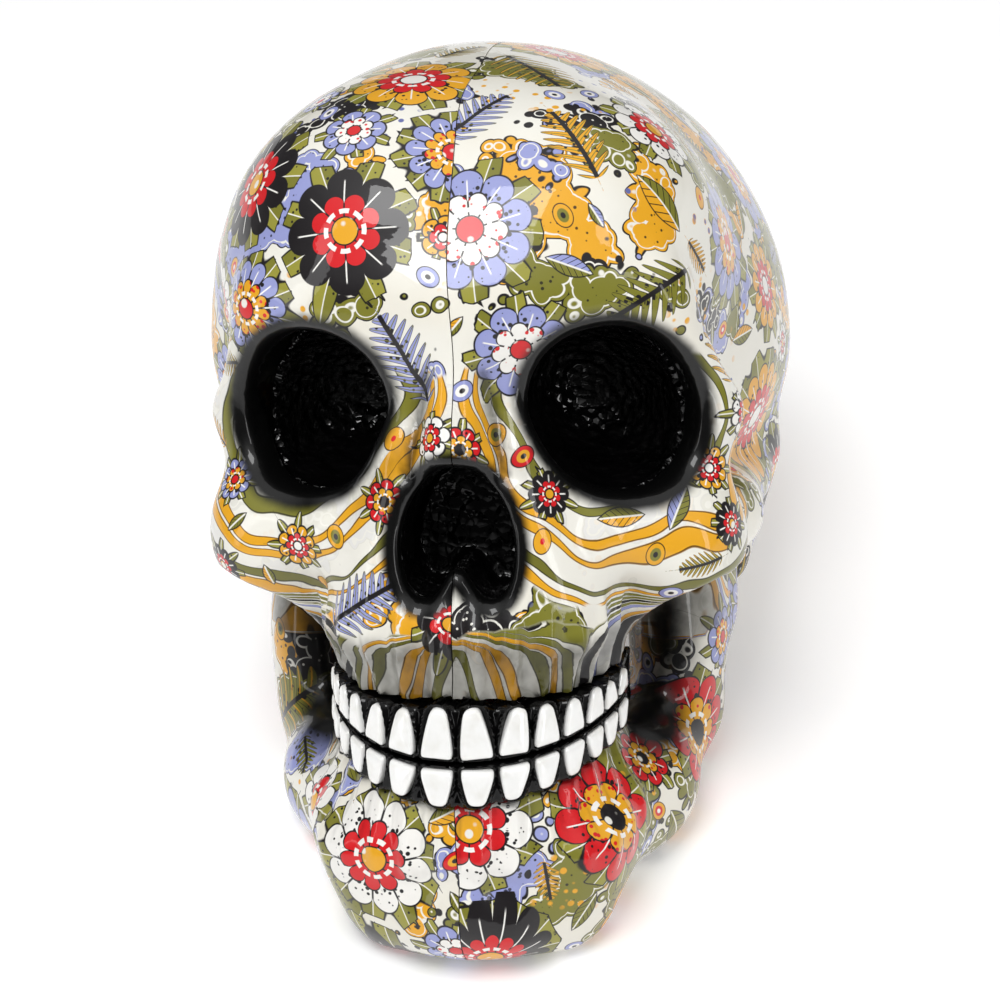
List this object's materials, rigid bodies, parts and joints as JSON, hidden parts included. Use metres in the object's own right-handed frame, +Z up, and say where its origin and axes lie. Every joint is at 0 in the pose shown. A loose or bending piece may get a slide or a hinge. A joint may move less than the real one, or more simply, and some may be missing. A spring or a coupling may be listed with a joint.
{
  "type": "decorative skull",
  "caption": "Life-size decorative skull leaning back, with a glossy all-over botanical print, black eye sockets and gums, white teeth and a pull-out base stopper.",
  "frame": {"origin": "On the table, under the middle of the whole skull's bounding box.", "axes": "+Z up; the face looks along -Y and leans back; +X is the skull's own left, the viewer's right."},
  "size_m": [0.145, 0.2302, 0.1651],
  "materials": {
    "printed_resin": "printed film under a clear gloss coat",
    "black_gloss": "black gloss enamel",
    "tooth_enamel": "white gloss enamel",
    "stopper_rubber": "matte",
    "pad_rubber": "matte"
  },
  "bodies": {
    "skull": {"left_skull_shell": "printed_resin", "left_jaw_half": "printed_resin", "left_socket_cup": "black_gloss", "right_skull_shell": "printed_resin", "right_jaw_half": "printed_resin", "right_socket_cup": "black_gloss", "nose_cup": "black_gloss", "upper_gum": "black_gloss", "lower_gum": "black_gloss", "upper_left_tooth_1": "tooth_enamel", "upper_left_tooth_2": "tooth_enamel", "upper_left_tooth_3": "tooth_enamel", "upper_left_tooth_4": "tooth_enamel", "upper_left_tooth_5": "tooth_enamel", "upper_left_tooth_6": "tooth_enamel", "upper_left_tooth_7": "tooth_enamel", "upper_right_tooth_1": "tooth_enamel", "upper_right_tooth_2": "tooth_enamel", "upper_right_tooth_3": "tooth_enamel", "upper_right_tooth_4": "tooth_enamel", "upper_right_tooth_5": "tooth_enamel", "upper_right_tooth_6": "tooth_enamel", "upper_right_tooth_7": "tooth_enamel", "lower_left_tooth_1": "tooth_enamel", "lower_left_tooth_2": "tooth_enamel", "lower_left_tooth_3": "tooth_enamel", "lower_left_tooth_4": "tooth_enamel", "lower_left_tooth_5": "tooth_enamel", "lower_left_tooth_6": "tooth_enamel", "lower_left_tooth_7": "tooth_enamel", "lower_right_tooth_1": "tooth_enamel", "lower_right_tooth_2": "tooth_enamel", "lower_right_tooth_3": "tooth_enamel", "lower_right_tooth_4": "tooth_enamel", "lower_right_tooth_5": "tooth_enamel", "lower_right_tooth_6": "tooth_enamel", "lower_right_tooth_7": "tooth_enamel", "front_left_pad": "pad_rubber", "front_right_pad": "pad_rubber", "rear_left_pad": "pad_rubber", "rear_right_pad": "pad_rubber"},
    "stopper": {"base_stopper": "stopper_rubber"}
  },
  "joints": [
    {"name": "stopper_pull", "type": "slide", "parent": "skull", "child": "stopper", "axis": [0, -0.454, -0.891], "range_m": [0, 0.014]}
  ]
}
